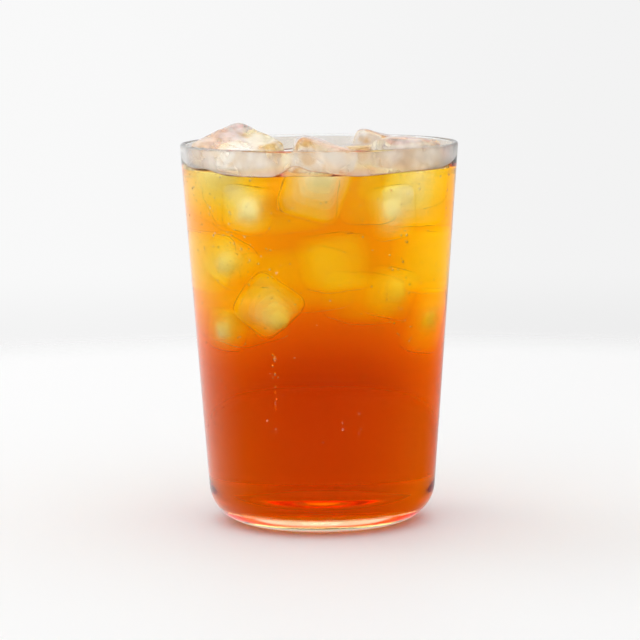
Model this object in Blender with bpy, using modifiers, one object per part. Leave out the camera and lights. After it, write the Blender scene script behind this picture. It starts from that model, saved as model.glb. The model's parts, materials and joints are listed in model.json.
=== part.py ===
# A straight-sided glass tumbler of iced tea, in metres, +Z up.
# The origin is the middle of the foot, on the surface that the tumbler stands on.
# The side that the viewer faces is -Y.

import math
import random

import bmesh
import bpy
from mathutils import Euler, Vector

MM = 0.001

# The tumbler
HEIGHT = 120.5 * MM
RIM_RADIUS = 44.0 * MM
RIM_WALL = 1.4 * MM
FOOT_WALL = 2.0 * MM
FOOT_RADIUS = 36.2 * MM  # the widest point of the heel's arc
HEEL_RADIUS = 12.0 * MM
BASE_THICKNESS = 6.2 * MM
INNER_HEEL_RADIUS = 3.5 * MM
FOOT_RING_WIDTH = 3.6 * MM
PUNT_DEPTH = 0.4 * MM  # the shallow hollow under the base
TURNED_STEPS = 72

# The tea
CLEARANCE = 0.3 * MM  # between solids that touch in the real drink
TEA_LEVEL = 112.4 * MM
CLIMB_REACH = 2.7 * MM  # how far from the wall a climb has fallen to about a third
TOP_RINGS = (0.0, 0.30, 0.58, 0.78, 0.89, 0.955, 1.0)
# Where the tea creeps up the glass: bearing in degrees, height, half width along the wall
CLIMBS = {
    "front peak": (259.5, 2.6 * MM, 3.8 * MM),
    "front shoulder": (268.0, 1.6 * MM, 8.0 * MM),
    "left front": (215.0, 1.3 * MM, 7.0 * MM),
    "left side": (176.0, 4.6 * MM, 17.0 * MM),
    "right front": (312.0, 1.0 * MM, 13.0 * MM),
    "right side": (4.0, 4.6 * MM, 18.0 * MM),
    "back": (90.0, 3.4 * MM, 46.0 * MM),
}

# The ice that stands out of the tea: centre, width, depth and height in mm, then tilt about X and Y
# and yaw about Z in degrees, with the yaw turned first
ICE_EDGE = 2.8 * MM
ICE_TAPER = 0.88  # the foot of a tray-made block is a little narrower than its top
ICE_UNEVENNESS = 0.45 * MM
ICE_SEED = 11
ICE = {
    "ice_left": ((-25.6, -4.4, 111.0), (23.8, 23.8, 24.0), (26.0, 1.5, 45.0)),
    "ice_front": ((-0.6, -28.4, 110.7), (19.4, 19.0, 24.0), (0.0, 16.0, 4.0)),
    "ice_middle": ((11.6, 2.4, 107.5), (14.7, 14.0, 24.0), (0.0, 1.0, 3.0)),
    "ice_right": ((26.8, -11.5, 108.8), (18.5, 17.5, 27.0), (0.0, 1.0, -35.0)),
    "ice_back": ((17.6, 19.4, 111.2), (18.4, 15.5, 22.0), (0.0, 18.0, -3.0)),
    "ice_rear": ((-8.8, 24.6, 103.4), (22.0, 19.0, 22.0), (6.0, -6.0, 10.0)),
}


def clear_scene():
    for obj in list(bpy.data.objects):
        bpy.data.objects.remove(obj, do_unlink=True)


def new_collection(name):
    collection = bpy.data.collections.new(name)
    bpy.context.scene.collection.children.link(collection)
    return collection


def clear_material(name, colour, roughness, alpha, ior):
    material = bpy.data.materials.new(name)
    material.use_nodes = True
    shader = material.node_tree.nodes["Principled BSDF"]
    shader.inputs["Base Color"].default_value = (*colour, 1.0)
    shader.inputs["Roughness"].default_value = roughness
    shader.inputs["Metallic"].default_value = 0.0
    shader.inputs["IOR"].default_value = ior
    shader.inputs["Transmission Weight"].default_value = 1.0 - alpha
    material.diffuse_color = (*colour, alpha)
    return material


def heel_arc(centre, radius, wall_top, count):
    """Points round a heel, from its lowest point up to where the straight wall leaves it."""
    run = wall_top[0] - centre[0]
    rise = wall_top[1] - centre[1]
    last = math.atan2(rise, run) - math.acos(radius / math.hypot(run, rise))
    first = -math.pi / 2
    angles = [first + (last - first) * i / (count - 1) for i in range(count)]
    return [(centre[0] + radius * math.cos(a), centre[1] + radius * math.sin(a)) for a in angles]


def outer_heel():
    centre = (FOOT_RADIUS - HEEL_RADIUS, HEEL_RADIUS)
    return heel_arc(centre, HEEL_RADIUS, (RIM_RADIUS, HEIGHT - RIM_WALL / 2), 8)


def inner_heel(inset):
    """The inside of the heel, moved away from the glass by inset."""
    radius = INNER_HEEL_RADIUS - inset
    centre = (FOOT_RADIUS - FOOT_WALL - INNER_HEEL_RADIUS, BASE_THICKNESS + INNER_HEEL_RADIUS)
    wall_top = (RIM_RADIUS - RIM_WALL - inset, HEIGHT - RIM_WALL / 2)
    return heel_arc(centre, radius, wall_top, 8)


def inside_radius(z, inset):
    """The radius of the straight inner wall at height z, moved away from the glass by inset."""
    foot = inner_heel(inset)[-1]
    top = (RIM_RADIUS - RIM_WALL - inset, HEIGHT - RIM_WALL / 2)
    return foot[0] + (top[0] - foot[0]) * (z - foot[1]) / (top[1] - foot[1])


def tumbler_profile():
    """From the middle of the inner floor, up inside, over the rim, down outside and under the foot."""
    inner = [(0.0, BASE_THICKNESS)] + inner_heel(0.0)
    rim_centre = (RIM_RADIUS - RIM_WALL / 2, HEIGHT - RIM_WALL / 2)
    rim = [
        (
            rim_centre[0] + RIM_WALL / 2 * math.cos(math.radians(angle)),
            rim_centre[1] + RIM_WALL / 2 * math.sin(math.radians(angle)),
        )
        for angle in range(180, -1, -45)
    ]
    outer = outer_heel()[::-1]
    ring_inside = outer[-1][0] - FOOT_RING_WIDTH
    punt = [
        (ring_inside * math.cos(math.radians(a)), PUNT_DEPTH * math.sin(math.radians(a)))
        for a in (0, 30, 60, 90)
    ]
    return inner + rim + outer + punt


def tea_profile():
    """From the middle of the top, out to the wall, down it, round the heel and in along the floor."""
    rim = inside_radius(TEA_LEVEL, CLEARANCE)
    top = [(rim * share, TEA_LEVEL) for share in TOP_RINGS]
    return top + inner_heel(CLEARANCE)[::-1] + [(0.0, BASE_THICKNESS + CLEARANCE)]


def turned(name, profile, collection):
    """A solid of revolution about Z, by a Screw modifier on the profile."""
    mesh = bpy.data.meshes.new(name)
    points = [(r, 0.0, z) for r, z in profile]
    edges = [(i, i + 1) for i in range(len(points) - 1)]
    mesh.from_pydata(points, edges, [])
    obj = bpy.data.objects.new(name, mesh)
    collection.objects.link(obj)
    screw = obj.modifiers.new("Turned", "SCREW")
    screw.axis = "Z"
    screw.steps = TURNED_STEPS
    screw.render_steps = TURNED_STEPS
    screw.use_merge_vertices = True
    screw.merge_threshold = 0.00001
    screw.use_smooth_shade = True
    return obj


def made_mesh(obj):
    """Puts the object's evaluated shape in its mesh, without its modifiers."""
    graph = bpy.context.evaluated_depsgraph_get()
    mesh = bpy.data.meshes.new_from_object(obj.evaluated_get(graph))
    obj.modifiers.clear()
    obj.data = mesh


def climb_height(x, y):
    """How far the tea stands above its level at a point of its top."""
    radius = math.hypot(x, y)
    wall = inside_radius(TEA_LEVEL, CLEARANCE)
    near_wall = math.exp((radius - wall) / CLIMB_REACH)
    bearing = math.degrees(math.atan2(y, x))
    height = 0.0
    for at, rise, half_width in CLIMBS.values():
        off = (bearing - at + 180.0) % 360.0 - 180.0
        along = math.radians(off) * wall
        height += rise * math.exp(-((along / half_width) ** 2))
    return height * near_wall


def raise_tea(tea):
    """Lifts the top where the tea climbs, and keeps its edge the same clearance from the sloping glass."""
    for vertex in tea.data.vertices:
        x, y, z = vertex.co
        if z < TEA_LEVEL - CLEARANCE:
            continue
        radius = math.hypot(x, y)
        height = TEA_LEVEL + climb_height(x, y)
        scale = 1.0
        if radius > 0.0:
            scale = inside_radius(height, CLEARANCE) / inside_radius(TEA_LEVEL, CLEARANCE)
        vertex.co = Vector((x * scale, y * scale, height))


def ice_block(name, grown, collection):
    """A tapered tray-made block with rounded, uneven corners. grown makes every side that much larger."""
    centre, size, turn = ICE[name]
    uneven = random.Random(ICE_SEED + list(ICE).index(name))
    mesh = bpy.data.meshes.new(name)
    cage = bmesh.new()
    bmesh.ops.create_cube(cage, size=1.0)
    half = Vector(size) * MM / 2
    for vertex in cage.verts:
        side = Vector((math.copysign(1, c) for c in vertex.co))
        narrowed = ICE_TAPER if side.z < 0 else 1.0
        corner = Vector((side.x * half.x * narrowed, side.y * half.y * narrowed, side.z * half.z))
        shift = Vector(uneven.uniform(-ICE_UNEVENNESS, ICE_UNEVENNESS) for _ in range(3))
        vertex.co = corner + shift + side * grown
    cage.to_mesh(mesh)
    cage.free()
    obj = bpy.data.objects.new(name, mesh)
    collection.objects.link(obj)
    obj.rotation_mode = "ZYX"
    obj.rotation_euler = Euler([math.radians(a) for a in turn], "ZYX")
    obj.location = Vector(centre) * MM
    bevel = obj.modifiers.new("Melted edges", "BEVEL")
    bevel.width = ICE_EDGE + grown
    bevel.segments = 3
    bevel.limit_method = "NONE"
    mesh.shade_smooth()
    return obj


def make_tumbler(collection):
    tumbler = turned("tumbler", tumbler_profile(), collection)
    tumbler.data.materials.append(clear_material("Clear glass", (0.95, 0.97, 0.96), 0.02, 0.25, 1.5))


def make_ice(collection):
    frost = clear_material("Melting ice", (0.96, 0.95, 0.92), 0.08, 0.45, 1.31)
    for name in ICE:
        ice_block(name, 0.0, collection).data.materials.append(frost)


def make_tea(collection, cutters):
    """The drink up to its level, with a socket for each block that stands out of it."""
    tea = turned("tea", tea_profile(), collection)
    made_mesh(tea)
    raise_tea(tea)
    tea.data.materials.append(clear_material("Black tea", (0.72, 0.22, 0.02), 0.02, 0.7, 1.333))
    for name in ICE:
        socket = ice_block(name, CLEARANCE, cutters)
        socket.name = name + "_socket"
        socket.hide_render = True
        socket.display_type = "WIRE"
    cut = tea.modifiers.new("Ice sockets", "BOOLEAN")
    cut.operation = "DIFFERENCE"
    cut.operand_type = "COLLECTION"
    cut.collection = cutters
    cut.solver = "EXACT"


def main():
    clear_scene()
    drink = new_collection("Iced tea")
    cutters = new_collection("Ice sockets")
    make_tumbler(drink)
    make_ice(drink)
    make_tea(drink, cutters)


main()
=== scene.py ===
# A tall tumbler of iced tea, dressed for a soft studio photograph.
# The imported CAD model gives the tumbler's height and width and the ice that stands out of the tea.
# Lengths in the dictionaries are in millimetres.

import json
import math
import random

import bmesh
import bpy
from mathutils import Matrix, Vector, noise
from mathutils.bvhtree import BVHTree

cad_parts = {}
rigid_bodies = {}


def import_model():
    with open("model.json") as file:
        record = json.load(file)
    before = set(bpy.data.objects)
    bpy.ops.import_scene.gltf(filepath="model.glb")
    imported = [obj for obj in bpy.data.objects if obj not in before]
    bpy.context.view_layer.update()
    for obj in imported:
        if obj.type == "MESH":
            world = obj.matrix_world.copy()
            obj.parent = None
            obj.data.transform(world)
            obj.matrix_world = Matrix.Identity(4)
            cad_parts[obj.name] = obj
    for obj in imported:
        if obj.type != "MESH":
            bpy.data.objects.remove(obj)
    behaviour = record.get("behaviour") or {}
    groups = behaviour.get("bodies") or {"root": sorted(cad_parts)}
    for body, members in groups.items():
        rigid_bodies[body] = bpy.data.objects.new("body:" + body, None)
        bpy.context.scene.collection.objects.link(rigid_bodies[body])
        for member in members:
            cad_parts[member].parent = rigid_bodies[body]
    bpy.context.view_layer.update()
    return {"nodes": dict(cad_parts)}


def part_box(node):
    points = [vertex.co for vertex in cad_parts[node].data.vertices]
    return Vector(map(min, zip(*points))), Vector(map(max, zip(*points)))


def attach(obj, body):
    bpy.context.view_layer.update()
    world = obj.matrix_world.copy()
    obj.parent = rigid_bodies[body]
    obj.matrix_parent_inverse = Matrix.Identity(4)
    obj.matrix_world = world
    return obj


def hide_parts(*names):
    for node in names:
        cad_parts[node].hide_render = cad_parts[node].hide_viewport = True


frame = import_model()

mm = 0.001
noiseSpan = (0.35, 0.6)  # where most values of a noise pattern lie
iceNames = sorted(name for name in frame["nodes"] if name.startswith("ice_"))
print("frame loaded,", len(iceNames), "ice blocks stand out of the tea")


def hexColour(code):
    parts = [int(code[i:i + 2], 16) / 255 for i in (1, 3, 5)]
    return [p / 12.92 if p <= 0.04045 else ((p + 0.055) / 1.055) ** 2.4 for p in parts] + [1.0]


def addNode(tree, kind, settings=None, links=None):
    # settings go to the node or, where it has a socket of that name or number, to the socket
    node = tree.nodes.new(kind)
    for key, value in (settings or {}).items():
        if isinstance(key, int) or key in node.inputs.keys():
            node.inputs[key].default_value = value
        else:
            setattr(node, key, value)
    for key, source in (links or {}).items():
        tree.links.new(source, node.inputs[key])
    return node


def newMaterial(name):
    material = bpy.data.materials.new(name)
    material.use_nodes = True
    material.node_tree.nodes.clear()
    return material, material.node_tree


def clearMaterial(name, ior, tint="#ffffff", roughness=0.0, bump=None, absorb=None, stainAndTeaGlow=None,
                  frost=None):
    # A see-through material. ior is the ratio of the indices on the two sides of the surface.
    # A tan stain covers a share of it in blotches, more of it low down than high up, and less towards the
    # left: partly a real film of tea, partly painted light, the tea's colour reflected in and seen through
    # the surface, whiter on the lit left. Frost is a white film, thicker in patches.
    material, tree = newMaterial(name)
    shader = addNode(tree, "ShaderNodeBsdfPrincipled", {
        "Base Color": hexColour(tint), "Roughness": roughness, "IOR": ior, "Transmission Weight": 1.0})
    out = addNode(tree, "ShaderNodeOutputMaterial", {}, {"Surface": shader.outputs["BSDF"]})
    place = addNode(tree, "ShaderNodeTexCoord")
    # painted light in part: the tan stands for a film of tea and for the tea's reflected glow
    if stainAndTeaGlow:
        blotch = addNode(tree, "ShaderNodeTexNoise", {
            "Scale": 1 / (stainAndTeaGlow["blotchMm"] * mm), "Detail": 2.0}, {"Vector": place.outputs["Object"]})
        axes = addNode(tree, "ShaderNodeSeparateXYZ", {}, {0: place.outputs["Object"]})
        lessHigh = addNode(tree, "ShaderNodeMapRange", {
            "From Min": stainAndTeaGlow["heights"][0] * mm, "From Max": stainAndTeaGlow["heights"][1] * mm,
            "To Min": stainAndTeaGlow["less"][0], "To Max": stainAndTeaGlow["less"][1]}, {"Value": axes.outputs["Z"]})
        aside = addNode(tree, "ShaderNodeMapRange", {
            "From Min": stainAndTeaGlow["leftOf"][0] * mm, "From Max": stainAndTeaGlow["leftOf"][1] * mm, "To Min": 0.0,
            "To Max": stainAndTeaGlow["lessOnLitLeft"]}, {"Value": axes.outputs["X"]})
        lessTan = addNode(tree, "ShaderNodeMath", {"operation": "ADD"},
                        {0: lessHigh.outputs["Result"], 1: aside.outputs["Result"]})
        tanShare = addNode(tree, "ShaderNodeMath", {"operation": "SUBTRACT"},
                      {0: blotch.outputs["Fac"], 1: lessTan.outputs["Value"]})
        hue = addNode(tree, "ShaderNodeValToRGB", {}, {"Fac": tanShare.outputs["Value"]})
        hue.color_ramp.elements[0].color = hexColour(tint)
        hue.color_ramp.elements[1].color = hexColour(stainAndTeaGlow["colour"])
        hue.color_ramp.elements[1].position = stainAndTeaGlow["edge"]
        tree.links.new(hue.outputs["Color"], shader.inputs["Base Color"])
    if frost:
        film = addNode(tree, "ShaderNodeTexNoise", {
            "Scale": 1 / (frost["blotchMm"] * mm), "Detail": 3.0}, {"Vector": place.outputs["Object"]})
        clear = addNode(tree, "ShaderNodeMapRange", {
            "From Min": noiseSpan[0], "From Max": noiseSpan[1], "To Min": 1 - frost["most"],
            "To Max": 1 - frost["least"]}, {"Value": film.outputs["Fac"]})
        tree.links.new(clear.outputs["Result"], shader.inputs["Transmission Weight"])
    if bump:
        ripple = addNode(tree, "ShaderNodeTexNoise", {
            "Scale": 1 / (bump["grainMm"] * mm), "Detail": bump.get("detail", 1.0)},
            {"Vector": place.outputs["Object"]})
        dents = addNode(tree, "ShaderNodeBump", {
            "Strength": 1.0, "Distance": bump["depthMm"] * mm}, {"Height": ripple.outputs["Fac"]})
        tree.links.new(dents.outputs["Normal"], shader.inputs["Normal"])
    if absorb:
        soak = addNode(tree, "ShaderNodeVolumeAbsorption", {
            "Color": absorb["colour"], "Density": absorb["density"]})
        tree.links.new(soak.outputs["Volume"], out.inputs["Volume"])
    return material


# Refractive indices of what meets in the drink. A surface between two of them bends light by
# their ratio, so each surface below is named for what lies on its two sides.
index = {"soda-lime glass": 1.50, "tea": 1.333, "ice": 1.31}

teaLook = {
    "absorbRed": 0.0080,  # per millimetre of full-strength tea
    "absorbGreen": 0.0445,
    "absorbBlue": 0.36,
    "paleShare": 0.35,  # the strength at the top of the drink: partly tea thinned by melting ice, partly painted light standing in for the light from above that brightens the top
    "paleRed": 0.15,  # painted light: the pale tea soaks up less of the red than its strength would say, which brightens the top as light from above would
    "paleAbove": 78.0,  # heights over the table
    "strongBelow": 46.0,
    "layers": 6,  # steps of strength between them, too fine to see
    "layerGap": 0.01,  # keeps the flat ends of two layers apart
}


def teaAbsorption(strength):
    # Blender takes a density per metre and the share of each colour that one density lets by
    density = teaLook["absorbBlue"] * strength / mm
    # painted light: towards the pale top the red is let through more than thinning alone would
    golden = (1 - strength) / (1 - teaLook["paleShare"])
    red = 1 - teaLook["absorbRed"] * (1 + (teaLook["paleRed"] - 1) * golden) / teaLook["absorbBlue"]
    green = 1 - teaLook["absorbGreen"] / teaLook["absorbBlue"]
    return {"colour": [red, green, 0.0, 1.0], "density": density}


glassInAir = clearMaterial("machine-pressed soda-lime glass", index["soda-lime glass"], "#fbfdfc",
                           bump={"grainMm": 18.0, "depthMm": 0.02})
# Mist inside the cold glass blurs what lies behind. A tan stain over it is partly a film of tea that
# splashed over it and partly painted light: the tea's glow seen in the glass above the drink, whiter on
# the left, where the window's light falls
glassMisted = clearMaterial("soda-lime glass misted inside over a cold drink", index["soda-lime glass"],
                            "#fffbf8", roughness=0.16,
                            stainAndTeaGlow={"colour": "#f8e8d2", "blotchMm": 14.0, "edge": 0.30,
                                   "heights": (112.0, 120.0), "less": (0.22, 0.50),
                                   "leftOf": (-10.0, -34.0), "lessOnLitLeft": 0.4},
                            frost={"blotchMm": 10.0, "least": 0.20, "most": 0.45})
# Painted reflection and painted shade: the underside's pinkish-tan tint stands in for the tea mirrored in
# it and darkens the base. Its slight roughness is the mould's finish.
glassUnder = clearMaterial("soda-lime glass, underside as the mould left it", index["soda-lime glass"],
                           "#f4e2d8", roughness=0.08)
glassOnTea = clearMaterial("soda-lime glass wetted by tea", index["soda-lime glass"] / index["tea"])
# The body of the tea only soaks up light. The glass, the ice and the tea's open skin, which are
# pieces of their own, bend it.
teaSkinTop = clearMaterial("brewed black tea, open surface", index["tea"],
                           bump={"grainMm": 9.0, "depthMm": 0.03})
teaSkinUnder = clearMaterial("brewed black tea, under its surface", 1.0)
# Tan patches between the clear ones are partly a film of tea running down the ice and partly a painted
# reflection of the tea below
iceInAir = clearMaterial("melting freezer ice, wet", index["ice"], "#fffcf9",
                         bump={"grainMm": 3.0, "depthMm": 0.06, "detail": 2.0},
                         stainAndTeaGlow={"colour": "#e6bd85", "blotchMm": 7.0, "edge": 0.14,
                                "heights": (112.0, 127.0), "less": (0.48, 0.54),
                                "leftOf": (-10.0, -34.0), "lessOnLitLeft": 0.1},
                         frost={"blotchMm": 6.0, "least": 0.20, "most": 0.55})
# Melt water brings 1.31 / 1.333 closer to 1, and blurs the block's edges
iceInTea = clearMaterial("melting freezer ice under tea", 0.995, roughness=0.12)

# The heart of a freezer block is white with air that had no way out as it froze from outside in.
# Shells inside each other add up to a cloud with a soft edge. The numbers of each are its size as a
# share of its block, how much rounder than the block it is, and how much it scatters per millimetre.
cloudLook = {
    "shells": {"ice_haze": (0.94, 0.1, 0.010), "ice_mist": (0.80, 0.35, 0.020),
               "ice_cloud": (0.68, 0.6, 0.05), "ice_heart": (0.54, 0.8, 0.14),
               "ice_core": (0.36, 0.9, 0.40)},
    "drift": 1.6,  # how far any heart may lie off the middle of its block
    # hearts that froze well off the middle of their blocks
    "farHearts": {"ice_left_melted": (2.0, -6.0, 3.0), "ice_right_melted": (-12.0, -6.0, -7.0),
                  "ice_front_melted": (2.0, -6.5, 1.0), "ice_sunk_low": (5.0, -7.5, -7.5),
                  "ice_sunk_lowleft": (-1.0, -4.0, 0.0)},
    "clear": ("ice_sunk_farright", "ice_sunk_farleft", "ice_sunk_back", "ice_sunk_mid",
              "ice_sunk_lowback", "ice_middle_melted"),  # blocks that froze with hardly any air
    "clearUpTo": 0.03,  # they have only the shells that scatter less than this
    "ragged": 1.8,
    "ragSize": 4.5,
    "facesKept": 0.3,  # a shell's surface is never seen, so few faces will do
    "forward": 0.1,  # a little more light goes on forwards than comes back
    "seed": 21,
}


def cloudMaterial(name, scatter):
    material, tree = newMaterial(name)
    mist = addNode(tree, "ShaderNodeVolumeScatter", {
        "Color": hexColour("#ffffff"), "Density": scatter / mm, "Anisotropy": cloudLook["forward"]})
    addNode(tree, "ShaderNodeOutputMaterial", {}, {"Volume": mist.outputs["Volume"]})
    return material


print("materials made")


glassShape = {
    "rimWall": 1.4,
    "footWall": 2.0,
    "footRadius": 36.2,  # the widest point of the heel
    "heelRadius": 12.0,
    "innerHeelRadius": 3.5,
    "baseThickness": 5.2,
    "footRingWidth": 3.6,
    "puntDepth": 0.4,
    "steps": 256,
}
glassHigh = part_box("tumbler")[1]
glassHeight = glassHigh.z / mm
rimRadius = glassHigh.x / mm

# Where the tea creeps up the glass: bearing in degrees, height, half width along the wall, and how
# far in from the glass it has fallen to about a third
teaShape = {
    "level": 112.4,
    "climbs": {
        "front peak": (259.5, 2.6, 3.8, 0.4),
        "front shoulder": (268.0, 1.6, 8.0, 0.4),
        "left front": (215.0, 1.3, 7.0, 2.7),
        "left side": (176.0, 4.6, 17.0, 2.7),
        "right front": (312.0, 1.0, 13.0, 2.7),
        "right side": (4.0, 4.6, 18.0, 2.7),
        "back": (90.0, 3.4, 46.0, 2.7),
    },
    "intoGlass": 0.06,  # the tea reaches just into the wall, so that no air gap shows
    "ringSpacing": 0.7,
    "iceClimb": 1.3,  # the small meniscus round each ice block
    "iceClimbReach": 1.6,
    "wallRing": 0.5,  # the ring along the wall that the ice doesn't lift
    "skinDepth": 0.05,
}


def heelArc(centre, radius, wallTop, count):
    # points from the lowest of the arc up to where the straight wall leaves it
    run = wallTop[0] - centre[0]
    rise = wallTop[1] - centre[1]
    last = math.atan2(rise, run) - math.acos(radius / math.hypot(run, rise))
    first = -math.pi / 2
    angles = [first + (last - first) * i / (count - 1) for i in range(count)]
    return [(centre[0] + radius * math.cos(a), centre[1] + radius * math.sin(a)) for a in angles]


def innerHeel(inset, count=20):
    g = glassShape
    centre = (g["footRadius"] - g["footWall"] - g["innerHeelRadius"],
              g["baseThickness"] + g["innerHeelRadius"])
    wallTop = (rimRadius - g["rimWall"] - inset, glassHeight - g["rimWall"] / 2)
    return heelArc(centre, g["innerHeelRadius"] - inset, wallTop, count)


def innerRadius(z, inset=0.0):
    g = glassShape
    foot = innerHeel(inset)[-1]
    top = (rimRadius - g["rimWall"] - inset, glassHeight - g["rimWall"] / 2)
    return foot[0] + (top[0] - foot[0]) * (z - foot[1]) / (top[1] - foot[1])


def climbAt(bearing, fromWall):
    # how far the tea stands above its level, fromWall millimetres in from the glass
    wall = innerRadius(teaShape["level"])
    height = 0.0
    for at, rise, halfWidth, reach in teaShape["climbs"].values():
        off = (bearing - at + 180) % 360 - 180
        height += rise * math.exp(-((math.radians(off) * wall / halfWidth) ** 2) - fromWall / reach)
    return height


def spread(start, end, count):
    # count points after start, the last one at end
    return [(start[0] + (end[0] - start[0]) * i / count, start[1] + (end[1] - start[1]) * i / count)
            for i in range(1, count + 1)]


def turnedSurface(name, profileAt, steps, materials):
    # profileAt(bearing) gives [(radius, z, slot of the band after this point)], all of one length.
    # A point on the axis becomes one vertex.
    build = bmesh.new()
    rows = []
    profiles = [profileAt(360 * j / steps) for j in range(steps)]
    for i in range(len(profiles[0])):
        if all(p[i][0] < 1e-6 for p in profiles):
            rows.append([build.verts.new((0, 0, profiles[0][i][1] * mm))] * steps)
            continue
        row = []
        for j, profile in enumerate(profiles):
            a = 2 * math.pi * j / steps
            r, z = profile[i][:2]
            row.append(build.verts.new((r * math.cos(a) * mm, r * math.sin(a) * mm, z * mm)))
        rows.append(row)
    for i in range(len(rows) - 1):
        for j in range(steps):
            k = (j + 1) % steps
            corners = [rows[i][j], rows[i + 1][j], rows[i + 1][k], rows[i][k]]
            corners = [v for n, v in enumerate(corners) if v not in corners[:n]]
            face = build.faces.new(corners)
            face.material_index = profiles[0][i][2]
            face.smooth = True
    bmesh.ops.recalc_face_normals(build, faces=build.faces)
    mesh = bpy.data.meshes.new(name)
    build.to_mesh(mesh)
    build.free()
    for material in materials:
        mesh.materials.append(material)
    piece = bpy.data.objects.new(name, mesh)
    bpy.context.scene.collection.objects.link(piece)
    return piece


def tumblerProfile(bearing):
    g = glassShape
    line = teaShape["level"] + climbAt(bearing, 0.0)
    inner = innerHeel(0.0)
    points = [(0.0, g["baseThickness"])] + spread((0.0, g["baseThickness"]), inner[0], 6)[:-1] + inner
    points += spread(inner[-1], (innerRadius(line), line), 24)
    wetted = len(points) - 1
    rimCentre = (rimRadius - g["rimWall"] / 2, glassHeight - g["rimWall"] / 2)
    points += spread(points[-1], (rimCentre[0] - g["rimWall"] / 2, rimCentre[1]), 4)
    misted = len(points) - 1
    points += [(rimCentre[0] + g["rimWall"] / 2 * math.cos(math.radians(a)),
                rimCentre[1] + g["rimWall"] / 2 * math.sin(math.radians(a)))
               for a in range(165, -1, -15)]
    outerCentre = (g["footRadius"] - g["heelRadius"], g["heelRadius"])
    outer = heelArc(outerCentre, g["heelRadius"], (rimRadius, rimCentre[1]), 24)[::-1]
    points += spread(points[-1], outer[0], 30)[:-1] + outer
    under = len(points) - 1
    ring = outer[-1][0] - g["footRingWidth"]
    points += [(ring * share, g["puntDepth"] * (1 + math.cos(math.pi * share)) / 2)
               for share in (1.0, 0.9, 0.8, 0.7, 0.6, 0.5, 0.4, 0.3, 0.2, 0.1, 0.0)]
    bands = [(wetted, 1), (misted, 2), (under, 0), (len(points), 3)]  # last point and slot of each
    return [(r, z, next(slot for last, slot in bands if i < last)) for i, (r, z) in enumerate(points)]


tumbler = turnedSurface("tumbler_glass", tumblerProfile, glassShape["steps"],
                         [glassInAir, glassOnTea, glassMisted, glassUnder])
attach(tumbler, "root")
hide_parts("tumbler")
print("tumbler made")


iceShape = {
    "taper": 0.88,  # the foot of a tray-made block is a little narrower than its top
    "edge": 2.8,
    "voxel": 0.8,
    "smoothing": 14,
    "waveSize": 9.0,  # melted hollows and swellings
    "waveDepth": 0.5,
    "fineShare": 0.35,  # the size of the fine dents as a share of the hollows
    "fineDepth": 0.12,
    "socketGap": 0.03,
    "wetUpTo": 0.6,  # how far over the tea's level its film still covers the ice
    "seed": 5,
}

# Blocks wholly sunk in the tea: centre, sides, then tilt about X and Y and yaw about Z in degrees
sunkIce = {
    "ice_sunk_left": ((-25.2, -15.4, 85.2), (14.5, 14, 15), (10, 34, 14)),
    "ice_sunk_mid": ((4.0, -14.8, 84.8), (18, 17, 17.5), (6, -6, 24)),
    "ice_sunk_right": ((18.8, -13.4, 74.6), (13, 13, 16), (-4, 14, -28)),
    "ice_sunk_farleft": ((-28.4, 5.2, 83.5), (17, 16, 19), (5, 4, -10)),
    "ice_sunk_back": ((-4.0, 22.0, 77.0), (20, 18, 19), (10, -6, 22)),
    "ice_sunk_farright": ((25.0, 14.0, 83.0), (18, 18, 20), (6, 8, 35)),
    "ice_sunk_white": ((-20.6, -24.9, 101.8), (15, 13, 15), (4, 6, -40)),
    "ice_sunk_pale": ((20.6, -25.2, 100.6), (14, 12, 17), (-3, -6, 39)),
    "ice_sunk_low": ((-15.4, -24.2, 71.8), (17.5, 16, 17), (8, 40, -10)),
    "ice_sunk_lowleft": ((-26.6, -15.6, 63.4), (12, 13, 13), (-10, 14, 28)),
    "ice_sunk_lowright": ((28.4, -5.2, 64.6), (10, 14, 21), (4, 22, -40)),
    "ice_sunk_lowback": ((9.4, 6.4, 72.0), (16, 16, 15), (6, 10, 40)),
    "ice_sunk_lowrear": ((-16.4, 11.4, 66.0), (17, 17, 17), (12, -14, 20)),
}


def roundedBlock(centre, size, turn):
    block = bmesh.new()
    bmesh.ops.create_cube(block, size=1.0)
    for v in block.verts:
        narrow = iceShape["taper"] if v.co.z < 0 else 1.0
        v.co = Vector((v.co.x * size[0] * narrow, v.co.y * size[1] * narrow, v.co.z * size[2]))
    bmesh.ops.bevel(block, geom=block.edges[:], offset=iceShape["edge"], segments=3, affect="EDGES",
                    profile=0.5)
    rx, ry, rz = (math.radians(a) for a in turn)
    spin = Matrix.Rotation(rx, 4, "X") @ Matrix.Rotation(ry, 4, "Y") @ Matrix.Rotation(rz, 4, "Z")
    block.transform(Matrix.Translation(Vector(centre) * mm) @ spin @ Matrix.Scale(mm, 4))
    mesh = bpy.data.meshes.new("block")
    block.to_mesh(mesh)
    block.free()
    return mesh


def evaluatedMesh(piece):
    graph = bpy.context.evaluated_depsgraph_get()
    return bpy.data.meshes.new_from_object(piece.evaluated_get(graph))


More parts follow.
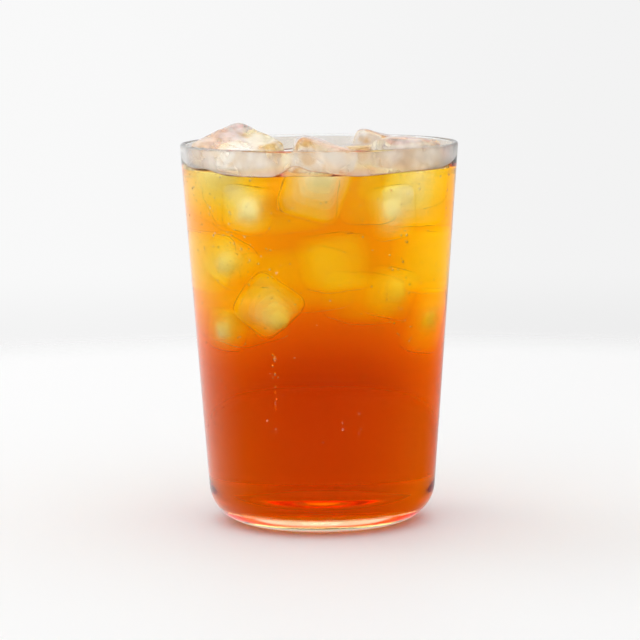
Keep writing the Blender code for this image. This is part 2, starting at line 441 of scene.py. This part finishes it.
def meltedIce(name, sourceMesh):
    # rounds the block's edges, then gives its faces shallow hollows as melting does
    piece = bpy.data.objects.new(name, sourceMesh.copy())
    bpy.context.scene.collection.objects.link(piece)
    remesh = piece.modifiers.new("even skin", "REMESH")
    remesh.mode = "VOXEL"
    remesh.voxel_size = iceShape["voxel"] * mm
    smooth = piece.modifiers.new("melted edges", "SMOOTH")
    smooth.iterations = iceShape["smoothing"]
    smooth.factor = 0.5
    mesh = evaluatedMesh(piece)
    piece.modifiers.clear()
    piece.data = mesh
    # its own place in the noise for each block, from its name
    shift = Vector((iceShape["seed"] * 3.1, len(name) * 1.7, sum(map(ord, name)) * 0.01))
    normals = [v.normal.copy() for v in mesh.vertices]
    for v, normal in zip(mesh.vertices, normals):
        wave = noise.noise(v.co / (iceShape["waveSize"] * mm) + shift)
        fine = noise.noise(v.co / (iceShape["waveSize"] * iceShape["fineShare"] * mm) + shift * 2)
        v.co += normal * (wave * iceShape["waveDepth"] + fine * iceShape["fineDepth"]) * mm
    mesh.shade_smooth()
    mesh.materials.clear()
    mesh.materials.append(iceInAir)
    mesh.materials.append(iceInTea)
    return piece


iceBlocks = {}
for name in iceNames:
    iceBlocks[name] = meltedIce(name + "_melted", frame["nodes"][name].data)
for name, (centre, size, turn) in sunkIce.items():
    iceBlocks[name] = meltedIce(name, roundedBlock(centre, size, turn))
print("ice made")


def teaLayers():
    # name, bottom, top and strength of each layer, from the floor up. The last has no flat top
    t = teaLook
    step = (t["paleAbove"] - t["strongBelow"]) / t["layers"]
    layers = [("tea_strong", None, t["strongBelow"], 1.0)]
    for i in range(t["layers"]):
        strength = 1 + (t["paleShare"] - 1) * (i + 0.5) / t["layers"]
        layers.append((f"tea_thinned_{i + 1}", t["strongBelow"] + step * i,
                       t["strongBelow"] + step * (i + 1), strength))
    layers.append(("tea_pale", t["paleAbove"], None, t["paleShare"]))
    return layers


def layerProfile(bottom, top, bearing):
    inset = -teaShape["intoGlass"]
    gap = teaLook["layerGap"]
    line = teaShape["level"] + climbAt(bearing, 0.0)
    inner = innerHeel(inset)
    if top is None:
        wall = innerRadius(line, inset)
        count = round(innerRadius(teaShape["level"]) / teaShape["ringSpacing"])
        lid = [(wall * i / count, teaShape["level"] + climbAt(bearing, wall - wall * i / count)
                - teaShape["skinDepth"] / 2) for i in range(count + 1)]
    else:
        wall = innerRadius(top, inset)
        lid = [(wall * i / 6, top - gap) for i in range(7)]
    if bottom is None:
        floor = glassShape["baseThickness"] - teaShape["intoGlass"]
        side = spread(lid[-1], inner[-1], 12) + inner[::-1][1:] + spread(inner[0], (0.0, floor), 6)
    else:
        foot = (innerRadius(bottom, inset), bottom + gap)
        side = spread(lid[-1], foot, 4 if top else 12) + spread(foot, (0.0, bottom + gap), 6)
    return [(r, z, 0) for r, z in lid + side]


def skinProfile(bearing):
    # a thin sheet that lies on the tea, with its own upper and lower faces
    t = teaShape
    wall = innerRadius(t["level"] + climbAt(bearing, 0.0), -t["intoGlass"])
    count = round(innerRadius(t["level"]) / t["ringSpacing"])
    top = [(wall * i / count, t["level"] + climbAt(bearing, wall - wall * i / count))
           for i in range(count + 1)]
    under = [(r, z - t["skinDepth"]) for r, z in top[::-1]]
    return [(r, z, 0 if i < count else 1) for i, (r, z) in enumerate(top + under)]


bpy.context.view_layer.update()
teaPieces = []
for name, bottom, top, strength in teaLayers():
    brewed = clearMaterial(f"brewed black tea, strength {strength:.2f}", 1.0,
                           absorb=teaAbsorption(strength))
    piece = turnedSurface(name, lambda bearing: layerProfile(bottom, top, bearing),
                          glassShape["steps"], [brewed])
    teaPieces.append(piece)
skin = turnedSurface("tea_skin", skinProfile, glassShape["steps"], [teaSkinTop, teaSkinUnder])


def climbIce(tea):
    # the tea's open surface rises a little round each block
    graph = bpy.context.evaluated_depsgraph_get()
    trees = [BVHTree.FromObject(piece, graph) for piece in iceBlocks.values()]
    for v in tea.data.vertices:
        if v.co.z < (teaShape["level"] - 2 * teaShape["skinDepth"]) * mm:
            continue
        if math.hypot(v.co.x, v.co.y) > (innerRadius(teaShape["level"]) - teaShape["wallRing"]) * mm:
            continue
        near = min((tree.find_nearest(v.co)[3] for tree in trees), default=1.0)
        v.co.z += teaShape["iceClimb"] * mm * math.exp(-near / (teaShape["iceClimbReach"] * mm))


def cutForIce(piece, cutters):
    cut = piece.modifiers.new("room for the ice", "BOOLEAN")
    cut.operation = "DIFFERENCE"
    cut.operand_type = "COLLECTION"
    cut.collection = cutters
    cut.solver = "MANIFOLD"
    piece.data = evaluatedMesh(piece)
    piece.modifiers.clear()


def heightRange(piece):
    heights = [v.co.z for v in piece.data.vertices]
    return min(heights), max(heights)


climbIce(teaPieces[-1])
climbIce(skin)
sockets = []
for name, piece in iceBlocks.items():
    socket = bpy.data.objects.new("cavity", piece.data.copy())
    normals = [v.normal.copy() for v in socket.data.vertices]
    for v, normal in zip(socket.data.vertices, normals):
        v.co -= normal * iceShape["socketGap"] * mm
    sockets.append(socket)
for piece in teaPieces + [skin]:
    low, high = heightRange(piece)
    cutters = bpy.data.collections.new("ice cavities")
    bpy.context.scene.collection.children.link(cutters)
    for socket in sockets:
        socketLow, socketHigh = heightRange(socket)
        if socketHigh > low and socketLow < high:
            cutters.objects.link(socket)
    if cutters.objects:
        cutForIce(piece, cutters)
    bpy.data.collections.remove(cutters)
    print(piece.name, len(piece.data.polygons), "faces")
for socket in sockets:
    bpy.data.objects.remove(socket)


def markTeaSide(piece):
    # the part of a block that lies in tea hardly bends the light that enters it
    build = bmesh.new()
    build.from_mesh(piece.data)
    cutHeight = Vector((0, 0, (teaShape["level"] + iceShape["wetUpTo"]) * mm))
    bmesh.ops.bisect_plane(build, geom=build.verts[:] + build.edges[:] + build.faces[:],
                           plane_co=cutHeight, plane_no=(0, 0, 1))
    for face in build.faces:
        face.material_index = 1 if face.calc_center_median().z < cutHeight.z else 0
    build.to_mesh(piece.data)
    build.free()


def cloudShell(name, share, roundness, scatter):
    # one piece for all blocks: each block's own shape, smaller and more ragged
    draw = random.Random(cloudLook["seed"])
    build = bmesh.new()
    for block in iceBlocks.values():
        if scatter > cloudLook["clearUpTo"] and block.name in cloudLook["clear"]:
            continue
        heart = Vector(cloudLook["farHearts"].get(block.name, (0, 0, 0))) * mm
        first = len(build.verts)
        build.from_mesh(block.data)
        build.verts.ensure_lookup_table()
        shape = build.verts[first:]
        middle = sum((v.co for v in shape), Vector()) / len(shape)
        drift = Vector(draw.uniform(-1, 1) for _ in range(3)) * cloudLook["drift"] * mm
        ball = min((v.co - middle).length for v in shape)
        for v in shape:
            rag = noise.noise(v.co / (cloudLook["ragSize"] * mm)) * cloudLook["ragged"] * mm
            reach = (v.co - middle).length
            out = (v.co - middle) / reach
            reach = share * (reach + (ball - reach) * roundness) + rag * (1 - share)
            v.co = middle + (drift + heart) * (1 - share) + out * reach
    mesh = bpy.data.meshes.new(name)
    build.to_mesh(mesh)
    build.free()
    mesh.materials.append(cloudMaterial(f"freezer ice clouded by air, {scatter} per mm", scatter))
    for face in mesh.polygons:
        face.material_index = 0
    cloud = bpy.data.objects.new(name, mesh)
    bpy.context.scene.collection.objects.link(cloud)
    coarse = cloud.modifiers.new("coarse", "DECIMATE")
    coarse.ratio = cloudLook["facesKept"]
    cloud.data = evaluatedMesh(cloud)
    cloud.modifiers.clear()
    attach(cloud, "root")
    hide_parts(*iceNames)


for name, (share, roundness, scatter) in cloudLook["shells"].items():
    cloudShell(name, share, roundness, scatter)
for name, piece in iceBlocks.items():
    markTeaSide(piece)
    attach(piece, "root")
    if name in iceNames:
        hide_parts(name)
for piece in teaPieces + [skin]:
    piece.data.set_sharp_from_angle(angle=math.radians(40))
    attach(piece, "root")
    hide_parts("tea")


# The tea's edge on the glass: a thin opaque bead whose colour is painted shade, the dark brown that the
# real tea's curved edge shows by bending the light away
edgeLook = {
    "radius": 0.17,
    "swell": 0.35,  # the share by which it gets thicker and thinner along the wall
    "swells": 9.0,
    "lift": 0.05,
    "steps": 360,
    "sides": 8,
    "blotchMm": 2.2,
    "blotchEdge": (0.38, 0.68),  # the noise values between which one colour turns into the other
    "shadeDark": "#864812",
    "thin": "#c88a40",
    "roughness": 0.2,
}


def teaEdge():
    e = edgeLook
    build = bmesh.new()
    rings = []
    for j in range(e["steps"]):
        bearing = 360 * j / e["steps"]
        a = math.radians(bearing)
        line = teaShape["level"] + climbAt(bearing, 0.0)
        swell = 1 + e["swell"] * noise.noise(Vector((math.cos(a), math.sin(a), 0.3)) * e["swells"])
        ring = []
        for k in range(e["sides"]):
            t = 2 * math.pi * k / e["sides"]
            r = innerRadius(line) - e["radius"] + e["radius"] * swell * math.cos(t)
            z = line + e["lift"] + e["radius"] * swell * math.sin(t)
            ring.append(build.verts.new((r * math.cos(a) * mm, r * math.sin(a) * mm, z * mm)))
        rings.append(ring)
    for j, ring in enumerate(rings):
        after = rings[(j + 1) % len(rings)]
        for k in range(e["sides"]):
            n = (k + 1) % e["sides"]
            build.faces.new((ring[k], after[k], after[n], ring[n])).smooth = True
    bmesh.ops.recalc_face_normals(build, faces=build.faces)
    return build


def addPiece(name, build, material):
    mesh = bpy.data.meshes.new(name)
    build.to_mesh(mesh)
    build.free()
    mesh.materials.append(material)
    piece = bpy.data.objects.new(name, mesh)
    bpy.context.scene.collection.objects.link(piece)
    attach(piece, "root")
    return piece


def edgeMaterial():
    # painted shade: dark brown and amber in blotches of noise, not following the bead's thickness
    material, tree = newMaterial("tea's edge on the glass, painted dark shade")
    place = addNode(tree, "ShaderNodeTexCoord")
    blotch = addNode(tree, "ShaderNodeTexNoise", {
        "Scale": 1 / (edgeLook["blotchMm"] * mm), "Detail": 2.0}, {"Vector": place.outputs["Object"]})
    hue = addNode(tree, "ShaderNodeValToRGB", {}, {"Fac": blotch.outputs["Fac"]})
    hue.color_ramp.elements[0].color = hexColour(edgeLook["shadeDark"])
    hue.color_ramp.elements[1].color = hexColour(edgeLook["thin"])
    hue.color_ramp.elements[0].position = edgeLook["blotchEdge"][0]
    hue.color_ramp.elements[1].position = edgeLook["blotchEdge"][1]
    shader = addNode(tree, "ShaderNodeBsdfPrincipled", {
        "Roughness": edgeLook["roughness"], "IOR": index["tea"], "Transmission Weight": 0.0},
        {"Base Color": hue.outputs["Color"]})
    addNode(tree, "ShaderNodeOutputMaterial", {}, {"Surface": shader.outputs["BSDF"]})
    return material


addPiece("tea_edge", teaEdge(), edgeMaterial())

# Fine air bubbles cling to the glass in the tea; mist has settled as droplets on the cold outside.
# Each row: how many, smallest and largest radius, then the bands of bearing and height they lie in
dropLook = {
    "bubbles": [(110, 0.12, 0.38, (188, 352), (70, 111)), (50, 0.14, 0.42, (224, 262), (52, 104)),
                (26, 0.18, 0.44, (246.5, 249.5), (38, 58)), (30, 0.12, 0.30, (200, 345), (8, 62)),
                (24, 0.16, 0.42, (300, 312), (62, 96))],
    "edgeBubbles": (60, 0.12, 0.36),
    "underEdge": (0.35, 0.8),  # how far these lie under the tea's edge
    "droplets": [(150, 0.10, 0.34, (180, 360), (30, 112)), (60, 0.12, 0.42, (196, 240), (86, 108)),
                 (90, 0.08, 0.26, (0, 180), (30, 112))],
    "mostlySmall": {"bubbles": 2.2, "edgeBubbles": 2.0, "droplets": 2.5},  # more makes large ones rarer
    "flat": 0.45,  # a droplet's height on the glass over its radius
    "offWall": 0.08,  # how far a bubble keeps off the glass
    "seed": 8,
}


def outerRadius(z):
    g = glassShape
    foot = heelArc((g["footRadius"] - g["heelRadius"], g["heelRadius"]), g["heelRadius"],
                   (rimRadius, glassHeight - g["rimWall"] / 2), 3)[-1]
    return foot[0] + (rimRadius - foot[0]) * (z - foot[1]) / (glassHeight - g["rimWall"] / 2 - foot[1])


def onWall(build, bearing, z, wallRadius, radius, flat, sunk):
    # a ball, or a flattened drop, on the wall. sunk is how far its middle lies inside the wall
    a = math.radians(bearing)
    shape = bmesh.ops.create_icosphere(build, subdivisions=2, radius=radius * mm)
    turn = Matrix.Rotation(a, 4, "Z") @ Matrix.Diagonal((flat, 1.0, 1.0, 1.0))
    middle = Vector((math.cos(a), math.sin(a), 0)) * (wallRadius + sunk) * mm + Vector((0, 0, z * mm))
    bmesh.ops.transform(build, matrix=Matrix.Translation(middle) @ turn, verts=shape["verts"])


def clingingBubbles():
    draw = random.Random(dropLook["seed"])
    build = bmesh.new()
    for count, small, large, bearings, heights in dropLook["bubbles"]:
        for _ in range(count):
            radius = small + (large - small) * draw.random() ** dropLook["mostlySmall"]["bubbles"]
            z = draw.uniform(*heights)
            onWall(build, draw.uniform(*bearings), z, innerRadius(z), radius, 1.0,
                   -radius - dropLook["offWall"])
    count, small, large = dropLook["edgeBubbles"]
    for _ in range(count):
        bearing = draw.uniform(0, 360)
        radius = small + (large - small) * draw.random() ** dropLook["mostlySmall"]["edgeBubbles"]
        under = draw.uniform(*dropLook["underEdge"])
        z = teaShape["level"] + climbAt(bearing, 0.0) - radius - under
        onWall(build, bearing, z, innerRadius(z), radius, 1.0, -radius - dropLook["offWall"])
    for face in build.faces:
        face.smooth = True
    return build


def outerDroplets():
    draw = random.Random(dropLook["seed"] + 1)
    build = bmesh.new()
    for count, small, large, bearings, heights in dropLook["droplets"]:
        for _ in range(count):
            radius = small + (large - small) * draw.random() ** dropLook["mostlySmall"]["droplets"]
            z = draw.uniform(*heights)
            onWall(build, draw.uniform(*bearings), z, outerRadius(z), radius, dropLook["flat"], 0.0)
    for face in build.faces:
        face.smooth = True
    return build


airInTea = clearMaterial("air bubble in tea", 1 / index["tea"])
waterDrop = clearMaterial("water droplet condensed on cold glass", index["tea"], "#ffffff", 0.02)
addPiece("air_bubbles", clingingBubbles(), airInTea)
addPiece("mist_droplets", outerDroplets(), waterDrop)
print("bead, bubbles and droplets made")

studio = {
    "floorDrop": 0.3,
    "tableRadius": 430.0,  # the table's far edge, where it fades into the white behind
    "fade": 60.0,
    "wallLeft": 0.945,
    "wallRight": 0.895,
    "wallFootShade": 0.955,  # painted shade: the wall is a little darker where it meets the table
    "backLight": 0.86,
    "farSide": 1.0,
    "window": 1.55,
    "overhead": 4.4,
    "front": 2.5,
    "fill": 0.24,
    "throughDrink": 0.62,  # what the table gets of the light that comes to it through the drink
}


def whiteTable():
    # a round table top that fades into the surrounding white at its edge
    s = studio
    reach = (s["tableRadius"] + s["fade"]) * mm
    build = bmesh.new()
    bmesh.ops.create_circle(build, cap_ends=True, segments=96, radius=reach)
    bmesh.ops.translate(build, verts=build.verts, vec=(0, 0, -s["floorDrop"] * mm))
    mesh = bpy.data.meshes.new("white_table")
    build.to_mesh(mesh)
    build.free()
    table = bpy.data.objects.new("white_table", mesh)
    bpy.context.scene.collection.objects.link(table)
    paint, tree = newMaterial("matt white painted table")
    shader = addNode(tree, "ShaderNodeBsdfPrincipled", {
        "Base Color": hexColour("#f7f7f7"), "Roughness": 0.6, "Specular IOR Level": 0.3})
    beyond = addNode(tree, "ShaderNodeBsdfTransparent")
    place = addNode(tree, "ShaderNodeTexCoord")
    away = addNode(tree, "ShaderNodeVectorMath", {"operation": "LENGTH"}, {0: place.outputs["Object"]})
    edge = addNode(tree, "ShaderNodeMapRange", {
        "From Min": (s["tableRadius"] - s["fade"]) * mm, "From Max": reach,
        "interpolation_type": "SMOOTHERSTEP"}, {"Value": away.outputs["Value"]})
    both = addNode(tree, "ShaderNodeMixShader", {}, {
        0: edge.outputs["Result"], 1: shader.outputs["BSDF"], 2: beyond.outputs["BSDF"]})
    addNode(tree, "ShaderNodeOutputMaterial", {}, {"Surface": both.outputs["Shader"]})
    mesh.materials.append(paint)
    table.visible_glossy = False
    return table


def studioWorld():
    # The camera sees a white wall, with painted light that makes it a little brighter on the left and
    # painted shade where it meets the table. The drink is lit by a dome that is brightest overhead and at
    # the back left. What the glass mirrors is that window, the ceiling, and a dark room in front.
    s = studio
    world = bpy.data.worlds.new("soft white studio")
    bpy.context.scene.world = world
    world.use_nodes = True
    world.cycles.sampling_method = "NONE"  # so that what a ray sees depends on what sent it
    tree = world.node_tree
    tree.nodes.clear()

    def ramp(source, start, end, low, high):
        return addNode(tree, "ShaderNodeMapRange", {
            "From Min": start, "From Max": end, "To Min": low, "To Max": high,
            "interpolation_type": "SMOOTHSTEP"}, {"Value": source}).outputs["Result"]

    def combine(operation, first, second):
        return addNode(tree, "ShaderNodeMath", {"operation": operation},
                       {0: first, 1: second}).outputs["Value"]

    place = addNode(tree, "ShaderNodeTexCoord").outputs["Generated"]
    axes = addNode(tree, "ShaderNodeSeparateXYZ", {}, {0: place})
    # painted light and shade: the wall the camera sees is brighter on the left and darker where it meets
    # the table
    across = ramp(axes.outputs["X"], -0.11, 0.11, s["wallLeft"], s["wallRight"])
    wallFootShade = ramp(axes.outputs["Z"], -0.128, -0.106, s["wallFootShade"], 1.0)
    wall = combine("MULTIPLY", across, wallFootShade)

    ceiling = ramp(axes.outputs["Z"], 0.35, 0.8, 0.0, s["overhead"])
    window = ramp(axes.outputs["X"], -0.10, -0.90, 1.0, s["window"])
    farSide = ramp(axes.outputs["X"], 0.05, 0.45, s["backLight"], s["farSide"])
    front = ramp(axes.outputs["Y"], -0.25, -0.85, 1.0, s["front"])
    around = combine("MULTIPLY", combine("MULTIPLY", window, farSide), front)
    dome = combine("ADD", around, ceiling)

    toWindow = addNode(tree, "ShaderNodeVectorMath", {"operation": "DOT_PRODUCT", 1: (-0.342, 0.94, 0.0)},
                       {0: place}).outputs["Value"]
    lit = addNode(tree, "ShaderNodeMapRange", {"From Min": 0.14, "From Max": 1.03},
                  {"Value": toWindow}).outputs["Result"]
    mirrored = combine("MAXIMUM", combine("MULTIPLY", lit, lit), ramp(axes.outputs["Z"], 0.02, 0.45, 0, 1))

    ray = addNode(tree, "ShaderNodeLightPath")

    def choose(which, otherwise, chosen):
        # a depth counts as one once it is over nothing, because the mix factor is clamped
        return addNode(tree, "ShaderNodeMix", {"data_type": "FLOAT"}, {
            0: ray.outputs[which], 2: otherwise, 3: chosen}).outputs[0]

    filled = addNode(tree, "ShaderNodeMath", {"operation": "MULTIPLY", 1: s["fill"]}, {0: dome})
    passed = addNode(tree, "ShaderNodeMath", {"operation": "MULTIPLY", 1: s["throughDrink"]}, {0: dome})
    seen = choose("Is Reflection Ray", dome, mirrored)
    seen = choose("Diffuse Depth", seen, passed.outputs["Value"])
    seen = choose("Is Diffuse Ray", seen, filled.outputs["Value"])
    seen = choose("Is Camera Ray", seen, wall)
    sky = addNode(tree, "ShaderNodeBackground", {"Color": hexColour("#ffffff")}, {"Strength": seen})
    addNode(tree, "ShaderNodeOutputWorld", {}, {"Surface": sky.outputs["Background"]})


def softBox(name, place, aim, size, power):
    light = bpy.data.lights.new(name, "AREA")
    light.shape = "RECTANGLE"
    light.size, light.size_y = size[0] * mm, size[1] * mm
    light.energy = power
    lamp = bpy.data.objects.new(name, light)
    lamp.location = Vector(place) * mm
    lamp.rotation_euler = (Vector(aim) - Vector(place)).to_track_quat("-Z", "Y").to_euler()
    bpy.context.scene.collection.objects.link(lamp)
    return lamp


whiteTable()
studioWorld()
softBox("softbox at the back left", (-700, 350, 700), (0, 0, 40), (600, 600), 1.1)

camera = {
    "distance": 900.0,
    "height": 177.24,
    "pitchDown": 7.189,
    "roll": 0.539,
    "yaw": -0.0131,
    "focalPixels": 2843.4,
    "framePixels": 640,
    "sensor": 36.0,
}


def placeCamera():
    c = camera
    data = bpy.data.cameras.new("camera")
    data.sensor_width = c["sensor"]
    data.lens = c["focalPixels"] / c["framePixels"] * c["sensor"]
    data.clip_start = 0.01
    data.clip_end = 10.0
    eye = bpy.data.objects.new("camera", data)
    eye.location = (0, -c["distance"] * mm, c["height"] * mm)
    turn = (Matrix.Rotation(math.radians(-c["yaw"]), 4, "Z")
            @ Matrix.Rotation(math.radians(90 - c["pitchDown"]), 4, "X")
            @ Matrix.Rotation(math.radians(-c["roll"]), 4, "Z"))
    eye.rotation_euler = turn.to_euler()
    bpy.context.scene.collection.objects.link(eye)
    bpy.context.scene.camera = eye


placeCamera()
view = bpy.context.scene.view_settings
view.view_transform = "Standard"  # keeps the tea's saturated orange
cycles = bpy.context.scene.cycles
cycles.max_bounces = 48
cycles.transmission_bounces = 48
cycles.transparent_max_bounces = 16
cycles.glossy_bounces = 16
cycles.volume_bounces = 8
print("studio lit")

bpy.context.view_layer.update()
